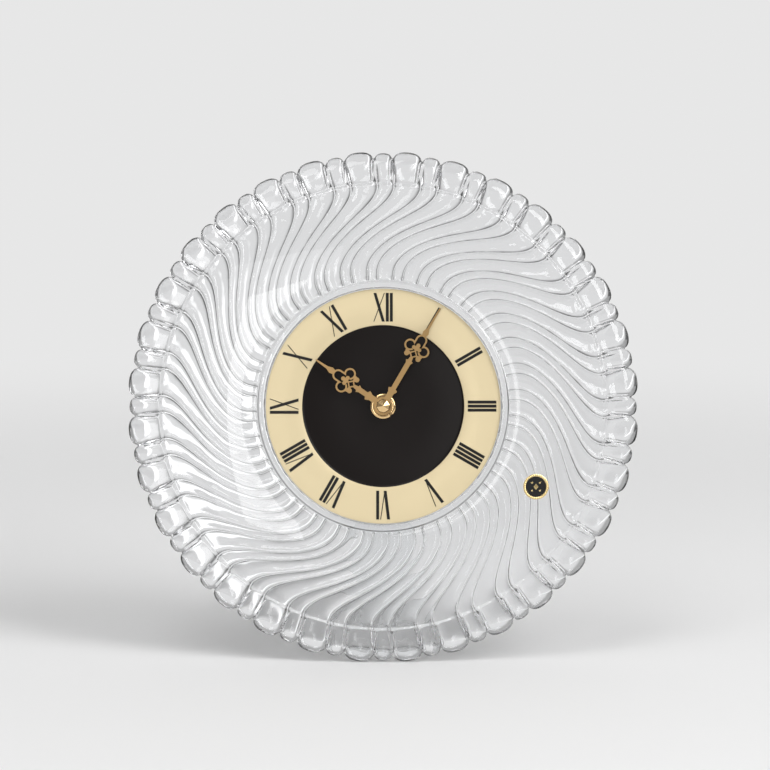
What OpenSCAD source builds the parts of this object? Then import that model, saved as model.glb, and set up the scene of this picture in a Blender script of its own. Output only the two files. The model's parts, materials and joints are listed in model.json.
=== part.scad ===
// Pressed crystal desk clock: a fluted glass plate with a metal dial, a quartz movement clamped
// behind it and a folding easel leg.
// The head is drawn in its own frame: x to the right, y up the plate, z towards the viewer, and
// z = 0 on the glass seat under the dial. stand_up() leans the head back and stands it on the floor.

/* [Stance] */
// Angle that the plate leans back from upright
lean = 10; // [6:1:14]
// Angle between the plate and the open leg
leg_angle = 30; // [27:1:34]

/* [Crystal plate] */
// Diameter over the large lobes
plate_d = 278; // [268:2:300]
// Number of large lobes, with a small lobe between each two
lobe_count = 32; // [24:4:40]
// Depth of the notches between the lobes
lobe_depth = 3.3; // [2:0.1:4]
// Width of the rim band outside the crease
rim_w = 19; // [16:1:22]
// Thickness of the rim
rim_t = 13.5; // [12:0.5:15]
// Thickness of the glass under the dial
web_t = 6; // [5:0.5:8]
// Thickness of the fluted glass between the ribs
well_t = 8; // [7:0.5:9]
// Height of the ribs on the back
rib_h = 2.4; // [1.5:0.1:3]
// Fall of the front from the lip's foot to the crease
well_drop = 6.3; // [5:0.1:8]
// Turn of the S-shaped ribs between the rim and the dial
swirl = 28; // [20:1:34]
// Height of the lip round the dial
lip_h = 4; // [3:0.1:5]
// Width of the lip
lip_w = 4.4; // [3.5:0.1:6]
// Width of the fillet outside the lip
fillet_w = 2.8; // [2:0.1:4]
// Fall of the fillet from the lip's top
fillet_drop = 1; // [0.5:0.1:1.5]
// Diameter of the hole in the middle
centre_hole_d = 10; // [9.5:0.1:11]

/* [Dial] */
// Diameter of the dial
dial_d = 127.2; // [110:0.2:134]
// Thickness of the dial plate
dial_t = 0.8; // [0.5:0.1:1.2]
// Height of the dial's raised rim above its sunk middle
dial_step = 0.6; // [0.3:0.1:0.9]
// Width of the slope from the middle up to the rim
dial_slope_w = 1; // [0.4:0.1:1.5]
// Width of the raised chapter ring
ring_w = 19.8; // [16:0.2:24]
// Thickness of the chapter ring
ring_t = 0.4; // [0.3:0.05:0.6]
// Bevel on both edges of the ring
ring_bevel = 0.2; // [0.1:0.05:0.25]
// Height of the numerals
numeral_h = 15.4; // [12:0.2:17]
// Width of the thick strokes
stroke_w = 1.5; // [1:0.05:1.65]
// Width of the hairlines
hairline_w = 0.35; // [0.2:0.05:0.5]
// Thickness of the printed numerals
ink_t = 0.1; // [0.05:0.01:0.2]
// Free space round the dial
dial_clear = 0.5; // [0.3:0.1:1]
// Diameter of the foil seal on the glass
seal_d = 13.8; // [10:0.2:16]
// Thickness of the foil seal
seal_t = 0.2; // [0.1:0.05:0.3]

/* [Hands] */
// Length of the minute hand
minute_l = 61.3; // [54:0.1:63]
// Length of the hour hand
hour_l = 44.4; // [40:0.1:50]
// Thickness of the hands
hand_t = 0.5; // [0.3:0.1:0.8]
// Width of the stems
stem_w = 2.8; // [2.2:0.1:3.4]
// Radius of the loops in the trefoil
loop_r = 3.15; // [2.8:0.05:3.4]
// Width of the metal in the loops
wire_w = 0.95; // [0.7:0.05:1.2]
// Clock angle of the minute hand
minute_angle = 30.3; // [0:0.1:360]
// Clock angle of the hour hand
hour_angle = 304.6; // [0:0.1:360]
// Diameter of the hour hand's boss
boss_d = 10; // [9:0.1:12]
// Diameter of the cap nut
cap_d = 7.7; // [7:0.1:9]
// Height of the cap nut
cap_h = 4.6; // [3.5:0.1:6]

/* [Centre stack] */
// Outer diameter of the threaded bush
bush_d = 8; // [7.6:0.1:9]
// Height of the threaded bush above the glass seat
bush_rise = 3.6; // [3.4:0.1:4]
// Pitch of the bush's thread
thread_pitch = 0.75; // [0.5:0.05:1]
// Outer diameter of the hour pipe
hour_pipe_d = 5.2; // [4.8:0.1:5.6]
// Outer diameter of the minute arbor's front end
arbor_d = 3.2; // [3:0.1:3.6]
// Outer diameter of the slotted nut
nut_d = 13.8; // [12:0.1:15]
// Thickness of the slotted nut
nut_t = 2; // [1.5:0.1:2.1]
// Outer diameter of the dial washer
washer_d = 13; // [12:0.2:15]
// Thickness of the dial washer
washer_t = 0.5; // [0.3:0.1:0.6]
// Outer diameter of the rubber gasket
gasket_d = 24; // [20:1:30]
// Thickness of the rubber gasket
gasket_t = 1; // [0.6:0.1:1.5]

/* [Movement] */
// Depth of the movement case
case_depth = 16.5; // [16.2:0.1:18]
// Thickness of the case walls and of the rear cover
case_wall = 1.5; // [1.2:0.1:1.6]
// Diameter of the battery
battery_d = 14.2; // [14:0.1:14.5]
// Length of the battery's body
battery_l = 49.2; // [48:0.1:49.5]
// Thickness of the motion wheels
motion_t = 1; // [0.8:0.05:1]
// Thickness of the train wheels
train_t = 0.7; // [0.5:0.05:0.7]
// Gap between two wheels that turn one above the other
layer_gap = 0.6; // [0.5:0.05:0.6]
// Thickness of the train bridge
bridge_t = 1.2; // [0.8:0.1:1.5]
// Module of the minute wheel and the cannon pinion
motion_module = 0.45; // [0.44:0.01:0.46]
// Module of the centre wheel
centre_module = 0.28; // [0.27:0.005:0.28]
// Module of the third and fourth wheels
middle_module = 0.26; // [0.25:0.005:0.265]
// Module of the fifth wheel
fifth_module = 0.2; // [0.19:0.005:0.21]
// Diameter of the rotor magnet
magnet_d = 4.4; // [4:0.1:4.6]
// Diameter of the coil's flanges
coil_d = 6; // [5.6:0.1:6.2]
// Diameter of the setting knob
knob_d = 11; // [9:0.5:13]
// Thickness of the setting knob
knob_t = 2.4; // [2:0.1:3]
// Diameter of the hanging hole above the case
hanger_hole_d = 4.5; // [4:0.1:6]

/* [Easel] */
// Width of the easel bracket
bracket_w = 34; // [30:1:38]
// Thickness of the easel bracket
bracket_t = 1.2; // [1:0.1:1.5]
// Distance of the hinge below the clock's centre
hinge_drop = 50; // [48:1:52]
// Distance of the hinge behind the bracket
hinge_depth = 9.8; // [9:0.1:11]
// Diameter of the hinge pin
pin_d = 3; // [2.5:0.1:4]
// Thickness of the bracket's ears
ear_t = 2; // [1.5:0.1:3]
// Thickness of the leg
leg_t = 4; // [3:0.5:5]
// Width of the leg at its foot
leg_foot_w = 42; // [36:1:46]
// Width of the foot pad
pad_w = 50; // [48:1:60]
// Depth of the foot pad
pad_depth = 14; // [12:1:16]
// Height of the foot pad
pad_h = 9; // [7:0.5:11]

/* [Hidden] */
// Overrun of every cut past the face it opens
over = 0.5;
// Radial play of a turning shaft in its bore, and of a fixed shaft or bush in its hole
run_clear = 0.06;
fit_clear = 0.04;
// Gap of two parts that nearly touch
part_gap = 0.3;

// Crystal plate
plate_r = plate_d/2;
recess_r = dial_d/2 + dial_clear;
lip_r = recess_r + lip_w;
lip_foot_r = lip_r + fillet_w;
lip_foot_z = lip_h - fillet_drop;
crease_r = plate_r - rim_w;
crease_z = lip_foot_z - well_drop;
// Share of the well's fall that follows the square of the distance from the lip
dome_share = 0.55;
// Height share of a small lobe, and half widths of both lobes as shares of one period
small_height_share = 0.7;
small_half_share = 0.193;
large_half_share = 0.5 - small_half_share;
// Places on a lobe as shares of its half width
small_step_shares = [-1, -0.52, 0.52];
large_step_shares = [-1, -0.68, -0.26, 0.26, 0.68];
// Lip: shares of its width and height
lip_shares = [[0.16, 0.92], [0.7, 1]];
// Front of the well: shares of the way from the lip's foot to the crease
well_shares = [0, 0.63, 1];
// Rim: shares of its width and thickness, then how far a notch cuts in and how far it lifts the back
rim_shares = [
  [0.58, 0.12, 0, 0],
  [0.9, 0.42, 0.7, 0],
  [1, 0.68, 1, 0],
  [0.84, 0.94, 0.9, 0.5],
  [0.34, 1, 0, 1]
];
// Number of rings along the ribs on the back
rib_rings = 6;
// Share of the lip's foot radius at which the back of the dial seat begins
seat_share = 0.95;

function well_z(t) = lip_foot_z - well_drop*((1 - dome_share)*t + dome_share*t*t);
function rib_turn(t) = swirl*(1 + cos(180*t))/2;
function well_r(t) = lip_foot_r + t*(crease_r - lip_foot_r);
function arc_height(d) = sqrt(1 - d*d);

// Each ring is [radius, height, share of the notch depth, share of the rib height, turn]
front_rings = concat(
  [[centre_hole_d/2, 0, 0, 0, swirl], [recess_r, 0, 0, 0, 0]],
  [for (s = lip_shares) [recess_r + s[0]*lip_w, s[1]*lip_h, 0, 0, 0]],
  [for (t = well_shares) [well_r(t), well_z(t), 0, 0, 0]]
);
edge_rings = [for (s = rim_shares) [crease_r + s[0]*rim_w, crease_z - s[1]*rim_t, s[2], s[3], 0]];
back_rings = concat(
  [for (k = [0:rib_rings]) let (t = 1 - k/rib_rings)
    [well_r(t), well_z(t) - well_t - rib_h*(k == rib_rings ? 0.5 : 1), 0, k == rib_rings ? 0.3 : 1, rib_turn(t)]],
  [[seat_share*lip_foot_r, -web_t, 0, 0, swirl], [centre_hole_d/2, -web_t, 0, 0, swirl]]
);
plate_rings = concat(front_rings, edge_rings, back_rings);
// One period of lobes: [share of the period, height share]
lobe_steps = concat(
  [for (s = small_step_shares) [s*small_half_share, small_height_share*arc_height(s)]],
  [for (s = large_step_shares) [0.5 + s*large_half_share, arc_height(s)]]
);
ring_size = lobe_count*len(lobe_steps);

function plate_point(ring, lobe, step) =
  let (a = (lobe + step[0])*360/lobe_count - ring[4],
       r = ring[0] - ring[2]*lobe_depth*(1 - step[1]),
       z = ring[1] + ring[3]*rib_h*(1 - step[1]))
  [r*sin(a), r*cos(a), z];
plate_points = [for (ring = plate_rings, lobe = [0:lobe_count - 1], step = lobe_steps)
  plate_point(ring, lobe, step)];

// Stance: heights and depths of head points after the lean
function leaned_z(p) = p[1]*cos(lean) + p[2]*sin(lean);
function leaned_y(p) = p[1]*sin(lean) - p[2]*cos(lean);
stand_h = -min([for (p = plate_points) leaned_z(p)]);
bracket_z = -web_t - gasket_t;
case_z = bracket_z - bracket_t;
hinge_z = case_z - hinge_depth;
hinge_point = [0, -hinge_drop, hinge_z];
hinge_h = leaned_z(hinge_point) + stand_h;
leg_slope = leg_angle - lean;
foot_y = leaned_y(hinge_point) + hinge_h*tan(leg_slope);
front_y = min([for (p = plate_points) leaned_y(p)]);
rear_y = max(foot_y + pad_depth/2, max([for (p = plate_points) leaned_y(p)]));
depth_shift = -(front_y + rear_y)/2;

// Dial
ring_z = dial_t + dial_step;
ink_z = ring_z + ring_t;
ring_in_r = dial_d/2 - ring_w;
numeral_gap = 0.45*stroke_w;
v_w = 3.5*stroke_w;
x_w = 4*stroke_w;
numeral_r = dial_d/2 - ring_w/2 - ring_bevel;
numeral_words = ["XII", "I", "II", "III", "IIII", "V", "VI", "VII", "VIII", "IX", "X", "XI"];
seal_angle = 117.8;
// Place of the seal as a share of the way from the lip's foot to the crease
seal_share = 0.46;
seal_ring_w = 0.1*seal_d;

// Centre stack, from the glass seat towards the viewer
washer_z = dial_t;
nut_z = washer_z + washer_t;
hour_hub_z = bush_rise + part_gap/2;
hour_hub_h = 0.45;
hour_hand_z = hour_hub_z + hour_hub_h;
hour_pipe_z = hour_hand_z + hand_t;
minute_hub_h = 1.2;
pipe_gap = 0.5;
minute_hub_z = hour_pipe_z + pipe_gap;
minute_hand_z = minute_hub_z + minute_hub_h;
cap_z = minute_hand_z + hand_t;
arbor_end_z = cap_z + 0.3*cap_h;
hour_hub_d = 1.4*hour_pipe_d;
minute_hub_d = 1.9*arbor_d;
thread_depth = 0.35*thread_pitch;
arbor_bore_d = arbor_d + 2*run_clear;
bush_bore_d = hour_pipe_d + 2*run_clear;
nut_slot_w = 1.6;
nut_slot_depth = 0.12*nut_d;

// Teeth of the wheels and pinions
cannon_teeth = 12;
minute_teeth = 36;
minute_leaves = 10;
hour_teeth = 40;
knob_teeth = 12;
centre_teeth = 64;
third_leaves = 8;
third_teeth = 60;
fourth_leaves = 8;
fourth_teeth = 40;
fifth_leaves = 8;
fifth_teeth = 48;
rotor_leaves = 8;
motion_dist = motion_module*(cannon_teeth + minute_teeth)/2;
hour_module = 2*motion_dist/(minute_leaves + hour_teeth);
tooth_top_share = 0.9;
// Tooth outlines: [share of the pitch angle, share of the module outside the pitch circle]
wheel_shares = [
  [-0.3, -1.15], [-0.205, 0], [-0.14, 0.5], [-0.05, tooth_top_share],
  [0.05, tooth_top_share], [0.14, 0.5], [0.205, 0], [0.3, -1.15]
];
leaf_shares = [[-0.16, -1.3], [-0.17, 0], [-0.11, 0.45], [0.11, 0.45], [0.17, 0], [0.16, -1.3]];

function step_from(p, dist, a) = [p[0] + dist*cos(a), p[1] + dist*sin(a)];
// Start angle of a gear in mesh with one of n1 teeth that starts at a1, in the direction d from it
function mesh_start(n1, a1, d, n2) = d + 180 + 360/n2*((d - a1)*n1/360 - 0.5);
function gear_points(teeth, m, start, shares) = [
  for (k = [0:teeth - 1], s = shares)
    let (a = start + 360/teeth*(k + s[0]), r = m*(teeth/2 + s[1]))
    [r*cos(a), r*sin(a)]
];

// Arbor places, each at its gears' centre distance from the one before
minute_dir = 160;
knob_dir = 100;
third_dir = 35;
fourth_dir = 110;
fifth_dir = 20;
rotor_dir = -20;
minute_at = step_from([0, 0], motion_dist, minute_dir);
knob_at = step_from(minute_at, motion_module*(minute_teeth + knob_teeth)/2, knob_dir);
third_at = step_from([0, 0], centre_module*(centre_teeth + third_leaves)/2, third_dir);
fourth_at = step_from(third_at, middle_module*(third_teeth + fourth_leaves)/2, fourth_dir);
fifth_at = step_from(fourth_at, middle_module*(fourth_teeth + fifth_leaves)/2, fifth_dir);
rotor_at = step_from(fifth_at, fifth_module*(fifth_teeth + rotor_leaves)/2, rotor_dir);
train_places = [third_at, fourth_at, fifth_at, rotor_at, minute_at];
// Movement, from the case's front wall backwards
cavity_z = case_z - case_wall;
case_back_z = case_z - case_depth;
cover_z = case_back_z + case_wall;
flange_t = 0.3;
flange_d = 1.35*bush_d;
wheel_play = 0.2;
hour_z = cavity_z - flange_t - wheel_play;
minute_z = hour_z - motion_t - layer_gap;
centre_z = minute_z - motion_t - layer_gap;
third_z = centre_z - train_t - layer_gap;
fourth_z = third_z - train_t - layer_gap;
fifth_z = fourth_z - train_t - layer_gap;
bridge_z = fifth_z - train_t - layer_gap;
pivot_r = 0.45;
arbor_r = 0.6;
pivot_depth = 1;
centre_arbor_r = 1;
spring_play = 0.08;
battery_r = battery_d/2;
bay_clear = 0.4;
battery_z = cavity_z - bay_clear/2 - battery_r;

// Cavity: as wide as the battery or the coil needs, from the battery bay up to the coil's end
bay_gap = 1.47;
bay_wall_t = 1;
coil_gap = 1.6;
top_gap = 2;
leaf_room = 2.2;
nub_gap = 0.1;
nub_r = 2.7;
nub_l = 1.1;
contact_t = 0.4;
contact_w = 8;
contact_h = 10;
core_w = 2.4;
core_t = 0.8;
core_drop = 11;
core_rise = 9;
coil_r = coil_d/2;
coil_x = rotor_at[0] + magnet_d/2 + coil_gap + coil_r;
core_low_y = rotor_at[1] - core_drop;
core_high_y = rotor_at[1] + core_rise;
battery_side = (nub_gap + nub_l + battery_l + contact_t + leaf_room)/2;
inner_x = max(battery_side, coil_x + coil_r + part_gap);
inner_top = core_high_y + core_w/2 + top_gap;
bay_wall_drop = hour_module*(hour_teeth/2 + tooth_top_share) + bay_gap;
bay_top = -bay_wall_drop - bay_wall_t;
battery_y = bay_top - bay_clear - battery_r;
inner_low = battery_y - battery_r - bay_clear;
case_w = 2*(inner_x + case_wall);
case_top = inner_top + case_wall;
case_low = inner_low - case_wall;

// Posts as shares of the cavity's half width, and of its height above the arbor or down to the bay
bridge_post_shares = [[-0.14, 0.68], [0.74, -0.38], [-0.6, -0.656]];
bridge_post_places = [for (s = bridge_post_shares) [s[0]*inner_x, s[1]*(s[1] > 0 ? inner_top : bay_wall_drop)]];
bridge_post_r = 1.6;

// Motor
motor_z = minute_z - 1.5*motion_t;
stator_t = 0.8;
magnet_gap = 0.5;
stator_hole_r = magnet_d/2 + magnet_gap;
stator_ring_w = 1;
stator_arm_w = 3;
core_z = motor_z - stator_t;
coil_wall = 0.5;
magnet_h = 3;
magnet_bore_r = 0.8;
magnet_low_z = core_z + stator_t/2 - magnet_h/2;
magnet_high_z = magnet_low_z + magnet_h;

// Electronics
board_w = 6.6;
board_h = 24;
board_t = 1;
board_x = -inner_x + board_w/2 + part_gap;
board_y = 4;
board_z = third_z - part_gap;
board_post_r = 1.2;
board_post_ys = [board_y - 0.4*board_h, board_y + 0.4*board_h];
can_r = 1;
can_l = 6;
chip_d = 4.4;
chip_t = 0.8;
battery_x = -inner_x + contact_t + nub_l + nub_gap;

// Setting knob and hanging loop
knob_shaft_r = 1.2;
knob_neck_r = 2;
knob_gap = 0.4;
knob_grips = 20;
hanger_t = 2.5;
hanger_rim = 2.5;
hanger_gap = 1;
hanger_r = hanger_hole_d/2 + hanger_rim;
hanger_y = case_top + hanger_gap + hanger_hole_d/2;

// Easel
ear_rim = 3;
barrel_rim = 2.5;
ear_r = pin_d/2 + ear_rim;
barrel_r = pin_d/2 + barrel_rim;
ear_x = bracket_w/2 - ear_t/2;
leg_side_gap = 0.4;
barrel_w = bracket_w - 2*ear_t - 2*leg_side_gap;
heel_l = 9;
pin_head_t = 1;
pad_sole = 2.5;
leg_l = (hinge_h - pad_sole)/cos(leg_slope);
leg_taper_drop = 10;
foot_corner_r = 3;
// Front corner of the heel, where the stop block meets it
heel_front_y = -hinge_drop + heel_l*cos(leg_angle) - leg_t/2*sin(leg_angle);
heel_front_z = hinge_z + heel_l*sin(leg_angle) + leg_t/2*cos(leg_angle);
stop_depth = case_z - heel_front_z - part_gap/2;
stop_h = 6;

$fn = 96;

// Helpers

module stand_up() {
  translate([0, depth_shift, stand_h]) rotate([90 - lean, 0, 0]) children();
}

module rod(r, z_low, z_high, place = [0, 0]) {
  translate([place[0], place[1], z_low]) cylinder(r = r, h = z_high - z_low);
}

module tube(r_out, r_in, z_low, z_high, place = [0, 0]) {
  difference() {
    rod(r_out, z_low, z_high, place);
    rod(r_in, z_low - over, z_high + over, place);
  }
}

module slab(size, place, z_low) {
  translate([place[0] - size[0]/2, place[1] - size[1]/2, z_low]) cube(size);
}

module gear(teeth, m, start, shares, z_low, z_high, place = [0, 0]) {
  translate([place[0], place[1], z_low]) linear_extrude(z_high - z_low)
    polygon(gear_points(teeth, m, start, shares));
}

module clock_angle(a) {
  rotate([0, 0, -a]) children();
}

// Glass

module crystal_plate() {
  rings = len(plate_rings);
  faces = [for (j = [0:rings - 1], i = [0:ring_size - 1])
    let (a = j*ring_size + i,
         b = j*ring_size + (i + 1)%ring_size,
         c = ((j + 1)%rings)*ring_size + (i + 1)%ring_size,
         d = ((j + 1)%rings)*ring_size + i)
    each [[a, c, b], [a, d, c]]];
  color([0.93, 0.95, 0.96, 0.6]) stand_up() polyhedron(plate_points, faces);
}

// Foil seal: a disc with a raised rim, flat on the slope of the well
module foil_seal() {
  low = well_shares[0];
  high = well_shares[1];
  slope = atan2(well_z(high) - well_z(low), well_r(high) - well_r(low));
  part = (seal_share - low)/(high - low);
  seal_z = well_z(low) + part*(well_z(high) - well_z(low));
  color([0.1, 0.09, 0.07]) stand_up() clock_angle(seal_angle)
    translate([0, well_r(seal_share), seal_z + fit_clear]) rotate([slope, 0, 0]) union() {
      cylinder(d = seal_d, h = seal_t);
      tube(seal_d/2, seal_d/2 - seal_ring_w, 0, seal_t + ink_t);
      rod(seal_ring_w, 0, seal_t + ink_t);
    }
}

// Dial

module dial_plate() {
  color([0.05, 0.045, 0.04]) stand_up() rotate_extrude() polygon([
    [bush_d/2 + fit_clear, 0], [dial_d/2, 0], [dial_d/2, ring_z], [ring_in_r, ring_z],
    [ring_in_r - dial_slope_w, dial_t], [bush_d/2 + fit_clear, dial_t]
  ]);
}

module chapter_ring() {
  color([0.87, 0.78, 0.5]) stand_up() rotate_extrude() polygon([
    [ring_in_r, ring_z], [dial_d/2, ring_z], [dial_d/2, ink_z - ring_bevel],
    [dial_d/2 - ring_bevel, ink_z], [ring_in_r + ring_bevel, ink_z], [ring_in_r, ink_z - ring_bevel]
  ]);
}

function glyph_w(c) = c == "I" ? stroke_w : c == "V" ? v_w : x_w;
function word_w(word, n) = n == 0 ? 0 : word_w(word, n - 1) + glyph_w(word[n - 1]) + numeral_gap;

// A stroke that leans from x0 at the foot to x1 at the head, w wide
module leaning_stroke(x0, x1, w) {
  polygon([[x0, 0], [x0 + w, 0], [x1 + w, numeral_h], [x1, numeral_h]]);
}

module glyph(c) {
  if (c == "I") square([stroke_w, numeral_h]);
  if (c == "V") {
    leaning_stroke(v_w/2 - stroke_w/2, 0, stroke_w);
    leaning_stroke(v_w/2, v_w - hairline_w, hairline_w);
  }
  if (c == "X") {
    leaning_stroke(x_w - stroke_w, 0, stroke_w);
    leaning_stroke(0, x_w - hairline_w, hairline_w);
  }
}

module hour_numerals() {
  color("black") stand_up() translate([0, 0, ink_z]) linear_extrude(ink_t)
    for (k = [0:len(numeral_words) - 1]) let (word = numeral_words[k], n = len(word))
      clock_angle(30*k) translate([(numeral_gap - word_w(word, n))/2, numeral_r - numeral_h/2])
        for (i = [0:n - 1]) translate([word_w(word, i), 0]) glyph(word[i]);
}

// Centre stack

module rubber_gasket() {
  color([0.12, 0.12, 0.12]) stand_up()
    tube(gasket_d/2, bush_d/2 + fit_clear, bracket_z, -web_t);
}

module threaded_bush() {
  turns = floor((bush_rise + web_t)/thread_pitch);
  outline = concat(
    [[bush_bore_d/2, bush_rise], [bush_bore_d/2, cavity_z - flange_t],
     [flange_d/2, cavity_z - flange_t], [flange_d/2, cavity_z], [bush_d/2 - thread_depth, cavity_z],
     [bush_d/2 - thread_depth, bush_rise - turns*thread_pitch]],
    [for (k = [turns:-1:1]) each [
      [bush_d/2, bush_rise - (k - 0.5)*thread_pitch],
      [bush_d/2 - thread_depth, bush_rise - (k - 1)*thread_pitch]]]
  );
  color([0.8, 0.66, 0.36]) stand_up() rotate_extrude() polygon(outline);
}

module dial_washer() {
  color([0.82, 0.7, 0.42]) stand_up()
    tube(washer_d/2, bush_d/2 + fit_clear, washer_z, nut_z);
}

module fixing_nut() {
  color([0.84, 0.7, 0.4]) stand_up() difference() {
    tube(nut_d/2, bush_d/2 + fit_clear, nut_z, nut_z + nut_t);
    for (a = [45, 225]) rotate(a) translate([nut_d/2 - nut_slot_depth, -nut_slot_w/2, nut_z - over])
      cube([nut_slot_depth + over, nut_slot_w, nut_t + 2*over]);
  }
}

// Hands: an openwork trefoil on a stem with two eared collars, and a flared needle
// Places in the trefoil and radii there, in shares of the loop radius from the top loop's centre
side_loop_share = [1.32, -1.55];
leg_bottom_share = -2.02;
flower_shares = [[0, -1.03, 0.36], [0.53, -1.62, 0.34], [-0.53, -1.62, 0.34], [0, -1.58, 0.45]];
eye_share = -2.71;
eye_hole_share = 0.47;
eye_frame_share = 0.79;
knob_shares = [[1.13, -3.1, 0.43], [0.92, -2.87, 0.32], [1.29, -2.68, 0.29]];
neck_share = -3.77;
// Half outline of the needle: shares of the stem width, then of the loop radius
needle_shares = [[0.45, 0.94], [0.62, 1.5], [0.27, 2.3]];
tip_share = 0.14;
// Half outlines of the two eared collars, in shares of the stem width
neck_collar_shares = [[0.5, -0.85], [0.76, -0.34], [0.4, -0.2], [0.31, 0.5]];
boss_collar_shares = [[0.6, -0.55], [0.86, -0.1], [0.96, 0.2], [0.48, 0.45]];
// Half width of the stem at the centre, in the same shares
stem_root_share = 0.58;

function mirrored(half) =
  concat(half, [for (i = [len(half) - 1:-1:0]) [-half[i][0], half[i][1]]]);

module diamond(y, half) {
  polygon([[half, y], [0, y + half], [-half, y], [0, y - half]]);
}

// The trefoil's three lobes, drawn in by the width of the wire for its inside
module trefoil_lobes(inset, bottom) {
  circle(loop_r - inset);
  for (side = [-1, 1]) translate([side*side_loop_share[0]*loop_r, side_loop_share[1]*loop_r])
    circle(loop_r - inset);
  translate([-loop_r + inset, bottom]) square([2*(loop_r - inset), -bottom]);
}

module trefoil() {
  difference() {
    trefoil_lobes(0, side_loop_share[1]*loop_r);
    trefoil_lobes(wire_w, leg_bottom_share*loop_r);
  }
  for (s = flower_shares) translate([s[0]*loop_r, s[1]*loop_r]) circle(s[2]*loop_r);
  difference() {
    diamond(eye_share*loop_r, eye_frame_share*loop_r);
    diamond(eye_share*loop_r, eye_hole_share*loop_r);
  }
  for (side = [-1, 1], s = knob_shares)
    translate([side*s[0]*loop_r, s[1]*loop_r]) circle(s[2]*loop_r);
}

module hand_outline(hand_l, loop_y) {
  neck_y = loop_y + neck_share*loop_r;
  boss_collar_y = 0.98*boss_d;
  translate([0, loop_y]) trefoil();
  polygon(mirrored(concat(
    [for (s = needle_shares) [s[0]*stem_w, loop_y + s[1]*loop_r]],
    [[tip_share*stem_w, hand_l - tip_share*stem_w], [0, hand_l]]
  )));
  polygon(mirrored(concat(
    [[stem_root_share*stem_w, 0]],
    [for (s = boss_collar_shares) [s[0]*stem_w, boss_collar_y + s[1]*stem_w]],
    [for (s = neck_collar_shares) [s[0]*stem_w, neck_y + s[1]*stem_w]]
  )));
}

module hand(hand_l, loop_y, hub_d, hole_d, z) {
  translate([0, 0, z]) linear_extrude(hand_t) difference() {
    union() {
      hand_outline(hand_l, loop_y);
      circle(d = hub_d);
    }
    circle(d = hole_d);
  }
}

minute_loop_share = 0.668;
hour_loop_share = 0.664;

module minute_hand() {
  color([0.78, 0.62, 0.34]) stand_up() clock_angle(minute_angle)
    hand(minute_l, minute_loop_share*minute_l, boss_d - stem_w, arbor_d + 2*fit_clear, minute_hand_z);
}

module hour_hand() {
  color([0.78, 0.62, 0.34]) stand_up() clock_angle(hour_angle)
    hand(hour_l, hour_loop_share*hour_l, boss_d, hour_pipe_d + 2*fit_clear, hour_hand_z);
}

module minute_hub() {
  color([0.8, 0.66, 0.36]) stand_up()
    tube(minute_hub_d/2, arbor_d/2 + fit_clear, minute_hub_z, minute_hand_z);
}

module hour_hub() {
  color([0.8, 0.66, 0.36]) stand_up()
    tube(hour_hub_d/2, hour_pipe_d/2 + fit_clear, hour_hub_z, hour_hand_z);
}

// Pointed cap nut over the end of the minute arbor
module cap_nut() {
  color([0.86, 0.72, 0.42]) stand_up() difference() {
    rotate_extrude() polygon([
      [0, cap_z], [cap_d/2, cap_z], [cap_d/2, cap_z + 0.28*cap_h], [0.36*cap_d, cap_z + 0.5*cap_h],
      [0.15*cap_d, cap_z + 0.84*cap_h], [0.05*cap_d, cap_z + cap_h], [0, cap_z + cap_h]
    ]);
    rod(arbor_d/2 + fit_clear, cap_z - over, arbor_end_z + run_clear);
  }
}

// Motion work

module minute_arbor() {
  start = mesh_start(minute_teeth, 0, minute_dir + 180, cannon_teeth);
  color([0.9, 0.9, 0.86]) stand_up() union() {
    rod(arbor_d/2, minute_z, arbor_end_z);
    gear(cannon_teeth, motion_module, start, leaf_shares, minute_z - motion_t, minute_z);
    rod(centre_arbor_r, bridge_z + run_clear, minute_z - motion_t);
    rod(pivot_r, bridge_z - pivot_depth, bridge_z + run_clear);
  }
}

// Three-armed spring washer that lets the hands be set while the train stands still
module clutch_spring() {
  color([0.75, 0.76, 0.78]) stand_up() difference() {
    union() {
      rod(1.8*centre_arbor_r, centre_z + spring_play, minute_z - motion_t - spring_play);
      for (a = [0:120:240]) rotate(a) translate([0, -0.6*centre_arbor_r, centre_z + spring_play])
        cube([3*centre_arbor_r, 1.2*centre_arbor_r, minute_z - motion_t - centre_z - 2*spring_play]);
    }
    rod(centre_arbor_r + fit_clear, centre_z - over, minute_z + over);
  }
}

module hour_wheel() {
  start = mesh_start(minute_leaves, 0, minute_dir + 180, hour_teeth);
  color([0.92, 0.92, 0.88]) stand_up() difference() {
    union() {
      gear(hour_teeth, hour_module, start, wheel_shares, hour_z - motion_t, hour_z);
      rod(hour_pipe_d/2, hour_z - motion_t, hour_pipe_z);
    }
    rod(arbor_bore_d/2, hour_z - motion_t - over, hour_pipe_z + over);
  }
}

module minute_wheel() {
  color([0.92, 0.92, 0.88]) stand_up() union() {
    gear(minute_teeth, motion_module, 0, wheel_shares, minute_z - motion_t, minute_z, minute_at);
    gear(minute_leaves, hour_module, 0, leaf_shares, minute_z, hour_z, minute_at);
    rod(pivot_r, cavity_z - flange_t, cavity_z + pivot_depth, minute_at);
    rod(arbor_r, hour_z, cavity_z - flange_t, minute_at);
    rod(arbor_r, bridge_z + run_clear, minute_z - motion_t, minute_at);
    rod(pivot_r, bridge_z - pivot_depth, bridge_z + run_clear, minute_at);
  }
}

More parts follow.
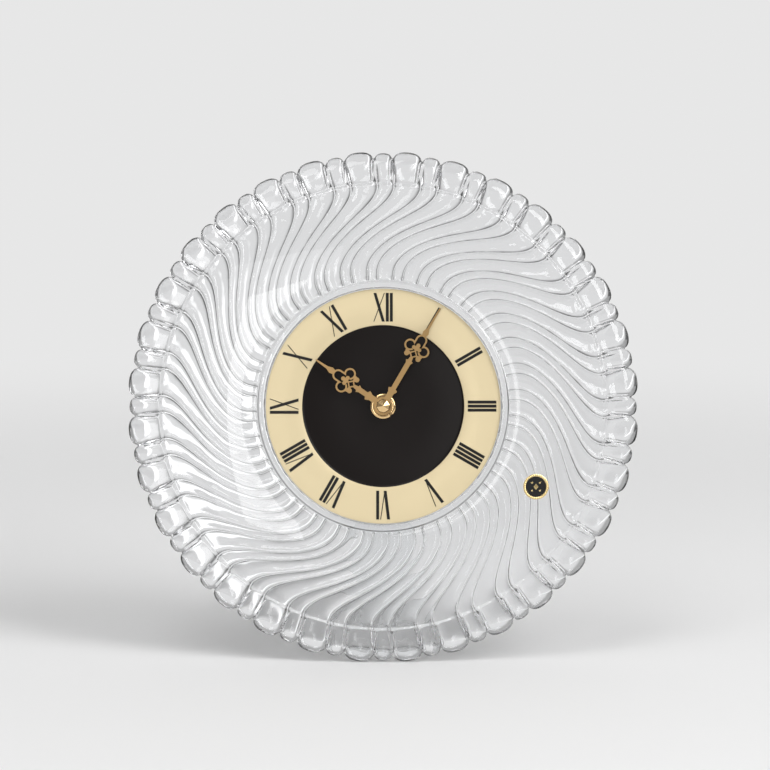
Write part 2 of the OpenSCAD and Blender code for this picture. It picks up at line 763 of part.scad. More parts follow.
module setting_knob() {
  start = mesh_start(minute_teeth, 0, knob_dir, knob_teeth);
  color([0.88, 0.88, 0.84]) stand_up() union() {
    gear(knob_teeth, motion_module, start, leaf_shares, minute_z - motion_t, minute_z, knob_at);
    rod(pivot_r, minute_z, cavity_z + pivot_depth, knob_at);
    rod(knob_shaft_r, cover_z + knob_gap, minute_z - motion_t, knob_at);
    rod(knob_neck_r, case_back_z - knob_gap, cover_z + knob_gap, knob_at);
    translate([knob_at[0], knob_at[1], case_back_z - knob_gap - knob_t]) linear_extrude(knob_t)
      polygon([for (k = [0:4*knob_grips - 1])
        let (r = knob_d/2 - (k%4 < 2 ? 0 : 0.04*knob_d), a = 90*k/knob_grips)
        [r*cos(a), r*sin(a)]]);
  }
}

// Going train

module centre_wheel() {
  color([0.9, 0.88, 0.8]) stand_up() difference() {
    union() {
      gear(centre_teeth, centre_module, 0, wheel_shares, centre_z - train_t, centre_z);
      rod(2.2*centre_arbor_r, centre_z - train_t - part_gap, centre_z);
    }
    rod(centre_arbor_r + run_clear, bridge_z, centre_z + over);
  }
}

// A train wheel with its pinion on one arbor between the case and the bridge
module train_wheel(place, leaves, pinion_module, pinion_start, teeth, m, start, z_pinion, z_wheel) {
  stand_up() union() {
    gear(teeth, m, start, wheel_shares, z_wheel - train_t, z_wheel, place);
    gear(leaves, pinion_module, pinion_start, leaf_shares, z_wheel, z_pinion, place);
    rod(pivot_r, z_pinion, cavity_z + pivot_depth, place);
    rod(arbor_r, bridge_z + run_clear, z_wheel - train_t, place);
    rod(pivot_r, bridge_z - pivot_depth, bridge_z + run_clear, place);
  }
}

module third_wheel() {
  pinion_start = mesh_start(centre_teeth, 0, third_dir, third_leaves);
  color([0.9, 0.88, 0.8]) train_wheel(third_at, third_leaves, centre_module, pinion_start,
    third_teeth, middle_module, 0, centre_z, third_z);
}

module fourth_wheel() {
  pinion_start = mesh_start(third_teeth, 0, fourth_dir, fourth_leaves);
  color([0.9, 0.88, 0.8]) train_wheel(fourth_at, fourth_leaves, middle_module, pinion_start,
    fourth_teeth, middle_module, 0, third_z, fourth_z);
}

module fifth_wheel() {
  pinion_start = mesh_start(fourth_teeth, 0, fifth_dir, fifth_leaves);
  color([0.9, 0.88, 0.8]) train_wheel(fifth_at, fifth_leaves, middle_module, pinion_start,
    fifth_teeth, fifth_module, 0, fourth_z, fifth_z);
}

module rotor_pinion() {
  start = mesh_start(fifth_teeth, 0, rotor_dir, rotor_leaves);
  color([0.9, 0.9, 0.88]) stand_up() union() {
    gear(rotor_leaves, fifth_module, start, leaf_shares, fifth_z - train_t, fifth_z, rotor_at);
    rod(arbor_r, fifth_z, magnet_low_z, rotor_at);
    rod(magnet_bore_r - fit_clear, magnet_low_z, magnet_high_z, rotor_at);
    rod(pivot_r, magnet_high_z, cavity_z + pivot_depth, rotor_at);
    rod(pivot_r, bridge_z - pivot_depth, fifth_z - train_t, rotor_at);
  }
}

module rotor_magnet() {
  color([0.25, 0.25, 0.27]) stand_up()
    tube(magnet_d/2, magnet_bore_r, magnet_low_z, magnet_high_z, rotor_at);
}

// Motor and electronics

module stator_plate() {
  arm_x = (rotor_at[0] + coil_x)/2;
  arm_l = coil_x - rotor_at[0] + core_w;
  color([0.7, 0.71, 0.74]) stand_up() difference() {
    union() {
      rod(stator_hole_r + stator_ring_w, core_z, motor_z, rotor_at);
      slab([stator_arm_w, core_high_y - core_low_y, stator_t],
        [rotor_at[0], (core_high_y + core_low_y)/2], core_z);
      for (y = [core_low_y, core_high_y])
        slab([arm_l, core_w, stator_t], [arm_x, y], core_z);
    }
    rod(stator_hole_r, core_z - over, motor_z + over, rotor_at);
  }
}

core_mid_y = (core_low_y + core_high_y)/2;
core_l = core_high_y - core_low_y + core_w;
bobbin_l = core_high_y - core_low_y - core_w - 2*part_gap;
core_mid_z = core_z - core_t/2;

module coil_core() {
  color([0.62, 0.63, 0.66]) stand_up()
    slab([core_w, core_l, core_t], [coil_x, core_mid_y], core_z - core_t);
}

// A drum along y, centred on the coil core
module coil_drum(r, l, y = 0) {
  translate([coil_x, core_mid_y + y + l/2, core_mid_z]) rotate([90, 0, 0]) cylinder(r = r, h = l);
}

module core_slot() {
  slab([core_w + 2*fit_clear, core_l, core_t + 2*fit_clear], [coil_x, core_mid_y],
    core_z - core_t - fit_clear);
}

drum_r = core_w/2 + coil_wall;

module coil_bobbin() {
  color([0.93, 0.93, 0.9]) stand_up() difference() {
    union() {
      coil_drum(drum_r, bobbin_l);
      for (side = [-1, 1]) coil_drum(coil_r, coil_wall, side*(bobbin_l - coil_wall)/2);
    }
    core_slot();
  }
}

module coil_winding() {
  winding_l = bobbin_l - 2*coil_wall - fit_clear;
  color([0.72, 0.4, 0.2]) stand_up() difference() {
    coil_drum(coil_r - coil_wall/2, winding_l);
    coil_drum(drum_r + fit_clear, winding_l + 2*over);
  }
}

module circuit_board() {
  color([0.15, 0.4, 0.25]) stand_up()
    slab([board_w, board_h, board_t], [board_x, board_y], board_z - board_t);
}

module timing_crystal_can() {
  color([0.8, 0.8, 0.82]) stand_up()
    translate([board_x, board_y - board_h/4 + can_l/2, board_z - board_t - can_r])
      rotate([90, 0, 0]) cylinder(r = can_r, h = can_l);
}

module chip_blob() {
  color([0.08, 0.08, 0.08]) stand_up()
    rod(chip_d/2, board_z - board_t - chip_t, board_z - board_t, [board_x, board_y + board_h/5]);
}

module along_x(x, r, l) {
  translate([x, battery_y, battery_z]) rotate([0, 90, 0]) cylinder(r = r, h = l);
}

module battery_cell() {
  color([0.3, 0.32, 0.36]) stand_up() union() {
    along_x(battery_x, battery_r, battery_l);
    along_x(battery_x - nub_l, nub_r, nub_l);
  }
}

module positive_contact() {
  color([0.8, 0.8, 0.82]) stand_up()
    translate([-inner_x, battery_y - contact_w/2, battery_z - contact_h/2])
      cube([contact_t, contact_w, contact_h]);
}

// Bent leaf that presses on the battery's flat end
module negative_contact() {
  reach = inner_x - contact_t - battery_x - battery_l - nub_gap;
  color([0.8, 0.8, 0.82]) stand_up() translate([inner_x, battery_y + contact_w/2, battery_z])
    rotate([90, 0, 0]) linear_extrude(contact_w) polygon([
      [0, -contact_h/2], [0, contact_h/2], [-contact_t, contact_h/2], [-contact_t, contact_h/4],
      [-contact_t - reach, contact_t], [-contact_t - reach, -contact_t], [-contact_t, -contact_h/4],
      [-contact_t, -contact_h/2]
    ]);
}

// Case, cover and bridge

module movement_case() {
  color([0.1, 0.1, 0.1]) stand_up() difference() {
    union() {
      difference() {
        slab([case_w, case_top - case_low, case_z - cover_z], [0, (case_top + case_low)/2], cover_z);
        slab([2*inner_x, inner_top - inner_low, cavity_z - cover_z + over],
          [0, (inner_top + inner_low)/2], cover_z - over);
      }
      translate([-inner_x, bay_top, cover_z]) cube([2*inner_x, bay_wall_t, cavity_z - cover_z]);
      for (y = board_post_ys) rod(board_post_r, board_z, cavity_z, [board_x, y]);
      for (y = [core_low_y, core_high_y]) rod(board_post_r, motor_z, cavity_z, [coil_x, y]);
      rod(hanger_r, cover_z, cover_z + hanger_t, [0, hanger_y]);
      translate([-hanger_r, inner_top, cover_z])
        cube([2*hanger_r, hanger_y - inner_top, hanger_t]);
    }
    rod(bush_d/2 + fit_clear, cavity_z - over, case_z + over);
    rod(hanger_hole_d/2, cover_z - over, cover_z + hanger_t + over, [0, hanger_y]);
    for (p = concat(train_places, [knob_at]))
      rod(pivot_r + run_clear, cavity_z - over, cavity_z + pivot_depth + run_clear, p);
  }
}

module rear_cover() {
  cover_low = bay_top + fit_clear;
  color([0.13, 0.13, 0.13]) stand_up() difference() {
    slab([case_w, case_top - cover_low, case_wall], [0, (case_top + cover_low)/2], case_back_z);
    rod(knob_neck_r + run_clear, case_back_z - over, cover_z + over, knob_at);
  }
}

module train_bridge() {
  low_x = bridge_post_places[2][0] - bridge_post_r;
  high_x = bridge_post_places[1][0] + bridge_post_r;
  low_y = bridge_post_places[2][1] - bridge_post_r;
  high_y = bridge_post_places[0][1] + bridge_post_r;
  color([0.85, 0.85, 0.82]) stand_up() difference() {
    union() {
      translate([low_x, low_y, bridge_z - bridge_t]) cube([high_x - low_x, high_y - low_y, bridge_t]);
      for (p = bridge_post_places) rod(bridge_post_r, bridge_z, cavity_z, p);
    }
    for (p = concat(train_places, [[0, 0]]))
      rod(pivot_r + run_clear, bridge_z - bridge_t - over, bridge_z + over, p);
    rod(knob_shaft_r + run_clear, bridge_z - bridge_t - over, bridge_z + over, knob_at);
  }
}

// Easel

module easel_bracket() {
  plate_low = hinge_drop + ear_r;
  color([0.75, 0.76, 0.78]) stand_up() difference() {
    union() {
      rod(bracket_w/2, case_z, bracket_z);
      translate([-bracket_w/2, -plate_low, case_z]) cube([bracket_w, plate_low, bracket_t]);
      for (side = [-1, 1]) translate([side*ear_x - ear_t/2, 0, 0]) {
        translate([0, -hinge_drop - ear_r, hinge_z]) cube([ear_t, 2*ear_r, hinge_depth + bracket_t/2]);
        translate([0, -hinge_drop, hinge_z]) rotate([0, 90, 0]) cylinder(r = ear_r, h = ear_t);
      }
      translate([-barrel_w/2, heel_front_y - stop_h/2, case_z - stop_depth])
        cube([barrel_w, stop_h, stop_depth + bracket_t/2]);
    }
    rod(bush_d/2 + fit_clear, case_z - over, bracket_z + over);
    translate([-bracket_w/2 - over, -hinge_drop, hinge_z]) rotate([0, 90, 0])
      cylinder(r = pin_d/2 + fit_clear, h = bracket_w + 2*over);
  }
}

module hinge_pin() {
  color([0.7, 0.71, 0.73]) stand_up() translate([0, -hinge_drop, hinge_z]) rotate([0, 90, 0]) union() {
    translate([0, 0, -bracket_w/2 - fit_clear]) cylinder(d = pin_d, h = bracket_w + 2*fit_clear);
    for (z = [-bracket_w/2 - fit_clear - pin_head_t, bracket_w/2 + fit_clear])
      translate([0, 0, z]) cylinder(d = 1.7*pin_d, h = pin_head_t);
  }
}

// Places children on the hinge axis with y up along the leg and z square to it
module on_hinge() {
  stand_up() translate(hinge_point) rotate([leg_angle, 0, 0]) children();
}

module leg_slab(grow = 0) {
  top_w = barrel_w;
  translate([0, 0, -leg_t/2 - grow]) linear_extrude(leg_t + 2*grow) polygon([
    [-top_w/2, heel_l], [top_w/2, heel_l], [top_w/2, -leg_taper_drop],
    [leg_foot_w/2, -leg_l + foot_corner_r], [leg_foot_w/2 - foot_corner_r, -leg_l],
    [-leg_foot_w/2 + foot_corner_r, -leg_l], [-leg_foot_w/2, -leg_l + foot_corner_r],
    [-top_w/2, -leg_taper_drop]
  ]);
}

module easel_leg() {
  color([0.9, 0.93, 0.95, 0.5]) on_hinge() difference() {
    union() {
      leg_slab();
      translate([-barrel_w/2, 0, 0]) rotate([0, 90, 0]) cylinder(r = barrel_r, h = barrel_w);
    }
    translate([-barrel_w/2 - over, 0, 0]) rotate([0, 90, 0])
      cylinder(r = pin_d/2 + run_clear, h = barrel_w + 2*over);
  }
}

// Soft pad that the foot of the leg is pushed into
module foot_pad() {
  straight_w = pad_w - pad_depth;
  color([0.85, 0.86, 0.87]) difference() {
    translate([0, foot_y + depth_shift, 0]) union() {
      translate([-straight_w/2, -pad_depth/2, 0]) cube([straight_w, pad_depth, pad_h]);
      for (side = [-1, 1]) translate([side*straight_w/2, 0, 0]) cylinder(d = pad_depth, h = pad_h);
    }
    on_hinge() leg_slab();
  }
}

crystal_plate();
dial_plate();
chapter_ring();
hour_numerals();
foil_seal();
rubber_gasket();
easel_bracket();
hinge_pin();
easel_leg();
foot_pad();
movement_case();
rear_cover();
threaded_bush();
dial_washer();
fixing_nut();
train_bridge();
stator_plate();
coil_core();
coil_bobbin();
coil_winding();
circuit_board();
timing_crystal_can();
chip_blob();
battery_cell();
positive_contact();
negative_contact();
minute_arbor();
clutch_spring();
minute_hub();
minute_hand();
cap_nut();
hour_wheel();
hour_hub();
hour_hand();
minute_wheel();
setting_knob();
centre_wheel();
third_wheel();
fourth_wheel();
fifth_wheel();
rotor_pinion();
rotor_magnet();
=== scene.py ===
import json
import math
import bmesh
import bpy
import numpy as np
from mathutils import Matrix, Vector

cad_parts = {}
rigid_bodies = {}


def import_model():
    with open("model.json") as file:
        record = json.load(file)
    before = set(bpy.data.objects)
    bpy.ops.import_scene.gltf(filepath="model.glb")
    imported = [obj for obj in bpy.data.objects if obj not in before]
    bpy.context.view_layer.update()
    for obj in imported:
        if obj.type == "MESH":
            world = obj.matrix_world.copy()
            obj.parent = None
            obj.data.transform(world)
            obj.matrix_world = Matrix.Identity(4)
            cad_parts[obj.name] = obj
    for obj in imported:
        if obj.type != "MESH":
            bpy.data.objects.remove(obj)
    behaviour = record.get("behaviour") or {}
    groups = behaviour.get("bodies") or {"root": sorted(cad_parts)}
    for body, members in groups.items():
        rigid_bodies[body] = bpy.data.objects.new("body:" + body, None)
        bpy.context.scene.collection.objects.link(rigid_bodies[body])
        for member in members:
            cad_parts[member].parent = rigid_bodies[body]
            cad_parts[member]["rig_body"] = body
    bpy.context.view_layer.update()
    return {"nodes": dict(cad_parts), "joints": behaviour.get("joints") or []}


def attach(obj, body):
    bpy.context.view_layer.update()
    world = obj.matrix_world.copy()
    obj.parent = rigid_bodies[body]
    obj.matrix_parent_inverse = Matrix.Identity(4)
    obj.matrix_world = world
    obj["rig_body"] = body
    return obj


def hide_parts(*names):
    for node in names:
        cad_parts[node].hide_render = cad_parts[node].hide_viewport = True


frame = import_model()
scene = bpy.context.scene
scene.view_settings.view_transform = "Standard"
mm = 0.001
pole = 0.01         # radius in millimetres at which a turned form closes on its axis

# The dial's own frame hangs on the minute hand's joint: x to the right, y up the plate, z to the viewer.
# Every piece of the clock is laid out in it, in millimetres.
handJoint = next(joint for joint in frame["joints"] if joint["name"] == "minute_spin")
dialCentre = np.array(handJoint["pos_m"])
facing = np.array(handJoint["axis"])
sideways = np.array([1.0, 0.0, 0.0])
upwards = np.cross(facing, sideways)
slotOf = {name: node.data.materials[0].name.split(".")[0] for name, node in frame["nodes"].items()}


# Places in the shared frame of points given in the dial's: centre + x sideways + y upwards + z facing
def onDial(points):
    x, y, z = (points[..., k : k + 1] * mm for k in range(3))
    return dialCentre + x * sideways + y * upwards + z * facing


# x = r sin a and y = r cos a, with a clockwise from twelve in radians
def clockPoint(radius, angle, height):
    return np.stack([radius * np.sin(angle), radius * np.cos(angle), height], axis=-1)


# Even steps once round the axis, as one row
def roundSteps(columns):
    return np.linspace(0, 2 * math.pi, columns, endpoint=False)[None, :]


# Catmull-Rom curve: each span is a cubic whose end slopes are half the step between its neighbours
def throughPoints(points, count):
    knots = np.asarray(points, float)
    padded = np.vstack([2 * knots[0] - knots[1], knots, 2 * knots[-1] - knots[-2]])
    t = np.linspace(0, len(knots) - 1, count)
    k = np.minimum(t.astype(int), len(knots) - 2)
    f = (t - k)[:, None]
    a, b, c, d = padded[k], padded[k + 1], padded[k + 2], padded[k + 3]
    square, cube = 2 * a - 5 * b + 4 * c - d, 3 * b - a - 3 * c + d
    return 0.5 * (2 * b + (c - a) * f + square * f**2 + cube * f**3)


# A quad for each cell of a grid of points; a closed grid wraps round in both directions
def gridMesh(name, points, sharpAngle=40, closed=True):
    rows, columns = points.shape[:2]
    index = np.arange(rows * columns).reshape(rows, columns)
    if closed:
        index = np.vstack([index, index[:1]])
        index = np.hstack([index, index[:, :1]])
    quads = np.stack([index[:-1, :-1], index[:-1, 1:], index[1:, 1:], index[1:, :-1]], axis=-1)
    mesh = bpy.data.meshes.new(name)
    mesh.from_pydata(points.reshape(-1, 3).tolist(), [], quads.reshape(-1, 4).tolist())
    mesh.polygons.foreach_set("use_smooth", np.ones(len(mesh.polygons), bool))
    mesh.set_sharp_from_angle(angle=math.radians(sharpAngle))
    mesh.update()
    return mesh


# Puts a mesh in a CAD node's place, on the node's body and in its slot. It has the slot's finish if no other
# is given.
def standIn(nodeName, mesh, material=None):
    piece = bpy.data.objects.new(mesh.name, mesh)
    scene.collection.objects.link(piece)
    mesh.materials.clear()
    mesh.materials.append(material or slotFinish[slotOf[nodeName]])
    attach(piece, frame["nodes"][nodeName]["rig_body"])
    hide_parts(nodeName)
    return piece


# The name of a node in one word, such as easelLeg for easel_leg
def oneWord(nodeName):
    first, *others = nodeName.split("_")
    return first + "".join(word.title() for word in others)


# Copies of CAD nodes: points nearer than join millimetres become one, faces within flat degrees of each other
# are joined, and edges sharper than sharp degrees are rounded
softening = {"join": 0.002, "flat": 0.6, "sharp": 30, "segments": 2}


# The triangles of a CAD node with their doubles merged and flat neighbours joined
def mergedCopy(nodeName, join):
    source = frame["nodes"][nodeName].data
    places = np.zeros(len(source.vertices) * 3)
    source.vertices.foreach_get("co", places)
    corners = np.zeros(len(source.loops), int)
    source.loops.foreach_get("vertex_index", corners)
    mesh = bpy.data.meshes.new(oneWord(nodeName))
    mesh.from_pydata(places.reshape(-1, 3).tolist(), [], corners.reshape(-1, 3).tolist())
    form = bmesh.new()
    form.from_mesh(mesh)
    bmesh.ops.remove_doubles(form, verts=form.verts, dist=join * mm)
    flat = math.radians(softening["flat"])
    bmesh.ops.dissolve_limit(form, angle_limit=flat, verts=form.verts, edges=form.edges)
    form.to_mesh(mesh)
    form.free()
    return mesh


# A merged copy whose edges are rounded inwards by a bevel, edge millimetres wide
def softened(nodeName, edge, segments=softening["segments"], join=softening["join"]):
    mesh = mergedCopy(nodeName, join)
    mesh.polygons.foreach_set("use_smooth", np.ones(len(mesh.polygons), bool))
    piece = standIn(nodeName, mesh)
    bevel = piece.modifiers.new("edge", "BEVEL")
    bevel.width = edge * mm
    bevel.segments = segments
    bevel.limit_method = "ANGLE"
    bevel.angle_limit = math.radians(softening["sharp"])
    bevel.harden_normals = True
    bevel.use_clamp_overlap = True
    return piece


# A node of a material with its inputs set; each keyword is an input's name
def addNode(tree, kind, **inputs):
    node = tree.nodes.new(kind)
    for key, value in inputs.items():
        node.inputs[key].default_value = value
    return node


# A Principled material; each keyword sets the socket of that name, with _ for a space
def newMaterial(name, colour, **inputs):
    material = bpy.data.materials.new(name)
    material.use_nodes = True
    shader = material.node_tree.nodes["Principled BSDF"]
    shader.inputs["Base Color"].default_value = (*colour, 1)
    for key, value in inputs.items():
        shader.inputs[key.replace("_", " ")].default_value = value
    return material


grainNoise = {"detail": 3, "depth": 0.2}        # layers of noise, and the bump's depth as a share of a patch


# Noise on Object coordinates, size millimetres to a patch: it bumps the surface and runs the roughness from
# low to high
def grain(material, size, bump, low=None, high=None):
    tree = material.node_tree
    shader = tree.nodes["Principled BSDF"]
    place = addNode(tree, "ShaderNodeTexCoord")
    noise = addNode(tree, "ShaderNodeTexNoise", Scale=1 / (size * mm), Detail=grainNoise["detail"])
    relief = addNode(tree, "ShaderNodeBump", Strength=bump, Distance=size * mm * grainNoise["depth"])
    tree.links.new(place.outputs["Object"], noise.inputs["Vector"])
    tree.links.new(noise.outputs["Fac"], relief.inputs["Height"])
    tree.links.new(relief.outputs["Normal"], shader.inputs["Normal"])
    if low is not None:
        spread = addNode(tree, "ShaderNodeMapRange")
        spread.inputs["To Min"].default_value = low
        spread.inputs["To Max"].default_value = high
        tree.links.new(noise.outputs["Fac"], spread.inputs["Value"])
        tree.links.new(spread.outputs["Result"], shader.inputs["Roughness"])


# Finish of each material slot: colour, Principled sockets, and the grain's size, bump, and lowest and highest
# roughness
finishes = {
    "crystal": ((0.93, 0.935, 0.945), dict(Roughness=0.0, IOR=1.52, Transmission_Weight=1), None),
    "dial_gold": ((0.738, 0.619, 0.388), dict(Metallic=0.3, Roughness=0.42), (0.5, 0.03, 0.36, 0.46)),
    "dial_black": ((0.0075, 0.0055, 0.005), dict(Specular_IOR_Level=0.16), (0.4, 0.03, 0.3, 0.38)),
    "ink": ((0.010, 0.009, 0.008), dict(Roughness=0.35, Specular_IOR_Level=0.3), (0.3, 0.05)),
    "seal_foil": ((0.012, 0.012, 0.011), dict(Coat_Weight=0.4), (0.3, 0.05, 0.16, 0.28)),
    "gasket_rubber": ((0.02, 0.02, 0.02), {}, (0.6, 0.2, 0.6, 0.8)),
    "nickel_steel": ((0.62, 0.6, 0.56), dict(Metallic=1), (0.35, 0.06, 0.2, 0.36)),
    "clear_acrylic": ((0.925, 0.935, 0.94), dict(Roughness=0.0, IOR=1.49, Transmission_Weight=1), None),
    "clear_rubber": ((0.94, 0.94, 0.94), dict(IOR=1.42, Transmission_Weight=1), (1.5, 0.1, 0.05, 0.15)),
    "case_plastic": ((0.018, 0.018, 0.019), {}, (0.28, 0.35, 0.42, 0.6)),
    "stack_brass": ((0.86, 0.6, 0.3), dict(Metallic=1), (0.5, 0.02, 0.09, 0.17)),
    "gear_plastic": ((0.8, 0.79, 0.74), dict(Subsurface_Weight=0.1), (0.5, 0.05, 0.32, 0.48)),
    "motor_steel": ((0.5, 0.5, 0.5), dict(Metallic=1), (0.3, 0.1, 0.3, 0.5)),
    "copper_wire": ((0.72, 0.3, 0.12), dict(Metallic=0.85), (0.2, 0.1, 0.2, 0.32)),
    "board_green": ((0.03, 0.16, 0.06), {}, (0.4, 0.1, 0.35, 0.5)),
    "epoxy_black": ((0.012, 0.012, 0.012), {}, (0.6, 0.1, 0.12, 0.25)),
    "can_metal": ((0.75, 0.75, 0.74), dict(Metallic=1), (0.3, 0.04, 0.15, 0.3)),
    "battery_jacket": ((0.03, 0.05, 0.09), dict(Coat_Weight=0.5), (0.5, 0.03, 0.25, 0.35)),
    "magnet_ferrite": ((0.04, 0.038, 0.036), {}, (0.4, 0.3, 0.5, 0.7)),
    "hand_brass": ((0.5, 0.32, 0.14), dict(Metallic=1), (0.4, 0.04, 0.26, 0.38)),
}
slotFinish = {}
for slotName, (colour, sockets, grainOf) in finishes.items():
    slotFinish[slotName] = newMaterial(slotName + "Finish", colour, **sockets)
    if grainOf:
        grain(slotFinish[slotName], *grainOf)
for nodeName, node in frame["nodes"].items():
    node.data.materials[0] = slotFinish[slotOf[nodeName]]
sealGold = newMaterial("sealGold", (0.8, 0.62, 0.3), Metallic=0.9)
grain(sealGold, 0.3, 0.05, 0.18, 0.3)
print("materials made")

# Camera: a long telephoto that looks nearly square at the plate, with the dial a little below the middle
view = {"distance": 2.5, "elevation": 9.2, "lens": 216.0, "sensor": 36, "nearest": 0.01,
        "raise": 11.6 * mm, "aside": 1.0 * mm}      # how far above and beside the dial's centre it aims
aim = Vector(dialCentre) + Vector((view["aside"], 0, view["raise"]))
slope = math.radians(view["elevation"])
camera = bpy.data.objects.new("camera", bpy.data.cameras.new("camera"))
scene.collection.objects.link(camera)
camera.data.lens = view["lens"]
camera.data.sensor_width = view["sensor"]
camera.data.clip_start = view["nearest"]
camera.location = Vector(dialCentre) + view["distance"] * Vector((0, -math.cos(slope), math.sin(slope)))
camera.rotation_euler = (aim - camera.location).to_track_quat("-Z", "Y").to_euler()
scene.camera = camera
print("camera set")

# Crystal plate
plate = {
    "lobes": 32,               # periods round the plate, each with a large and a small lobe
    "largeSteps": 16,          # columns across a large lobe, a small one and a groove
    "smallSteps": 10,
    "grooveSteps": 3,
    "smallHalf": 0.193,        # half width of a small lobe with half a groove, as a share of the period
    "grooveHalf": 0.016,       # half width of the groove's floor
    "grooveDip": 0.07,         # how far the floor sags, as a share of the lobe's height
    "smallHeight": 0.7,        # height of a small lobe as a share of a large one's
    "notch": 3.6,              # how far the grooves cut into the edge
    "ribShare": 0.27,          # height of a rib as a share of its half width, square across it
    "ribEnd": 0.06,            # share of the way from lip to crease where the ribs start to fade
    "ribFoot": 0.03,           # and where their height and place are taken for the ends
    "frontGroove": 1.4,        # depth of the grooves on the rim's front
    "rimBend": 0.7,            # degrees that the front's grooves lean back at the crease, and the rear's on
    "bendRadii": (134, 138.5),
    "bendFront": (1, 0.8, 0),  # shares of that bend at the crease and at those radii
    "bendBehind": (0.8, 0.7, 0),
    "edgeRadii": (131.5, 138.3),        # where the cushions of the front turn into the scallops of the edge
    "swirl": 28,               # degrees that the ribs turn between the crease and the lip
    "seamTurn": 0.7,           # the rim's mould sits this many degrees off the well's
    "seamWidth": 0.8,
    "lipFoot": (71.3, 3.0),
    "crease": (119.4, -3.25),
    "rimStart": (0.3, -0.06),  # from the crease
    "domeShare": 0.55,
    "wellThickness": 8,
    "web": 6,                  # thickness under the dial
    "bore": 5,
    "seat": 64.1,              # wall round the dial, and rings inside it that end the turn of the rows
    "seatRings": (0.6, 0.15),
    "backRings": (65.2, 64.6),
    "waves": ((0.07, 9.5, 25, 0), (0.06, 7.1, 118, 2), (0.05, 5.3, 71, 4)),  # height, length, bearing, start
    "waveStart": (2, 0.1),     # how far inside the lip's foot and behind the web they begin
    "sharp": 50,
}
# Rows in each part of the plate's section
plateRows = {"lip": 18, "well": 8, "rim": 24, "under": 10, "ribs": 23, "ends": 10}
# Points of the section: radius and height, then their shares of the notch and of the groove's lift
plateSection = {
    "lip": [(64.1, 0.2), (64.12, 3.0), (64.3, 3.72), (64.8, 3.97), (65.8, 4.0), (66.9, 3.98), (67.3, 3.72),
            (67.9, 2.6), (68.4, 2.1), (69.1, 2.05), (70, 2.4)],
    "rim": [(119.95, -3.36, 0, 0), (120.6, -3.8, 0, 0), (121.2, -4.22, 0, 0), (121.5, -4.42, 0, 0.2),
            (122.2, -4.52, 0, 0.5), (123.5, -4.62, 0, 0.75), (126.5, -4.79, 0, 1), (130, -5.05, 0, 1.1),
            (132.2, -5.6, 0.05, 1), (134.4, -6.7, 0.25, 0.95), (136.7, -8.5, 0.6, 0.7),
            (138.3, -10.9, 0.9, 0.3), (139, -12.8, 1, 0)],
    "under": [(139, -12.8, 1, 0), (138.4, -14.6, 0.95, 0.15), (136.2, -16.2, 0.85, 0.5),
              (131.5, -16.8, 0.35, 0.9), (126.5, -16.3, 0, 1), (122.5, -15, 0, 1)],
    # These have their heights from the ribs' and from the web's
    "ends": [(70.6, -0.1, 0, 1), (69.2, -0.3, -0.03, 1.1), (68, -0.4, -0.08, 1.1), (67.2, -0.25, -0.15, 0.8)],
    "web": [(66.5, -0.05, -0.2, 0.1), (65.6, 0, -0.1, 0)],
}
# Lobe profiles: power of the ellipse, and how far it stops short of upright at the grooves
cushion, scallop, rib, plain = (4.5, 0.06), (2.5, 0.1), (2.0, 0.2), (2.0, 1.0)
wellWidth = plate["crease"][0] - plate["lipFoot"][0]


# One period: phases, places on a lobe from -1 to 1, each lobe's height share, and groove places.
# The places are sines of even steps, so that the columns crowd at the grooves.
def lobePlaces():

    def spread(steps):
        return np.sin(np.linspace(-math.pi / 2, math.pi / 2, steps + 1))[:-1]

    small, large = spread(plate["smallSteps"]), spread(plate["largeSteps"])
    floor = np.linspace(-1, 1, plate["grooveSteps"] + 1)[:-1]
    half, groove = plate["smallHalf"], plate["grooveHalf"]
    phases = np.concatenate([small * (half - groove), half + floor * groove,
                             0.5 + large * (0.5 - half - groove), 1 - half + floor * groove])
    places = np.concatenate([small, 0 * floor + 1, large, 0 * floor + 1])
    tallness = np.concatenate([0 * small + plate["smallHeight"], 0 * floor, 0 * large + 1, 0 * floor])
    sag = np.concatenate([0 * small, 1 - floor**2, 0 * large, 1 - floor**2]) * plate["grooveDip"]
    return phases, places, tallness, sag


# A superellipse, (1 + rest - place^power)^(1/power), less its height at the lobe's end, scaled to 1
def lobeHeight(place, power, rest):
    end = rest ** (1 / power)
    return ((1 + rest - np.abs(place) ** power) ** (1 / power) - end) / ((1 + rest) ** (1 / power) - end)


# Front of the well at share t of the way from the lip's foot to the crease: a line plus a parabola
def wellHeight(t):
    drop = plate["lipFoot"][1] - plate["crease"][1]
    dome = plate["domeShare"]
    return plate["lipFoot"][1] - drop * ((1 - dome) * t + dome * t * t)


# Half a cosine wave, from the full swirl at the lip to none at the crease
def ribTurn(t):
    return plate["swirl"] * (1 + np.cos(math.pi * t)) / 2 - plate["seamTurn"]


# A share of the large rib's half width, which narrows with the cosine of the rib's slant
def ribHeight(t):
    radius = plate["lipFoot"][0] + t * wellWidth
    slant = np.arctan(radius * np.radians(plate["swirl"]) * math.pi / 2 * np.sin(math.pi * t) / wellWidth)
    halfWidth = radius * (0.5 - plate["smallHalf"]) * 2 * math.pi / plate["lobes"]
    return plate["ribShare"] * halfWidth * np.cos(slant)


# Rows of radius, height, notch share, lift of the grooves, turn, and the lobe profile's two numbers
def ringRows(radius, height, profile, notch=0.0, lift=0.0, turn=0.0):
    columns = np.broadcast_arrays(radius, height, notch, lift, turn, *profile)
    return np.stack([np.asarray(column, float) for column in columns], axis=1)


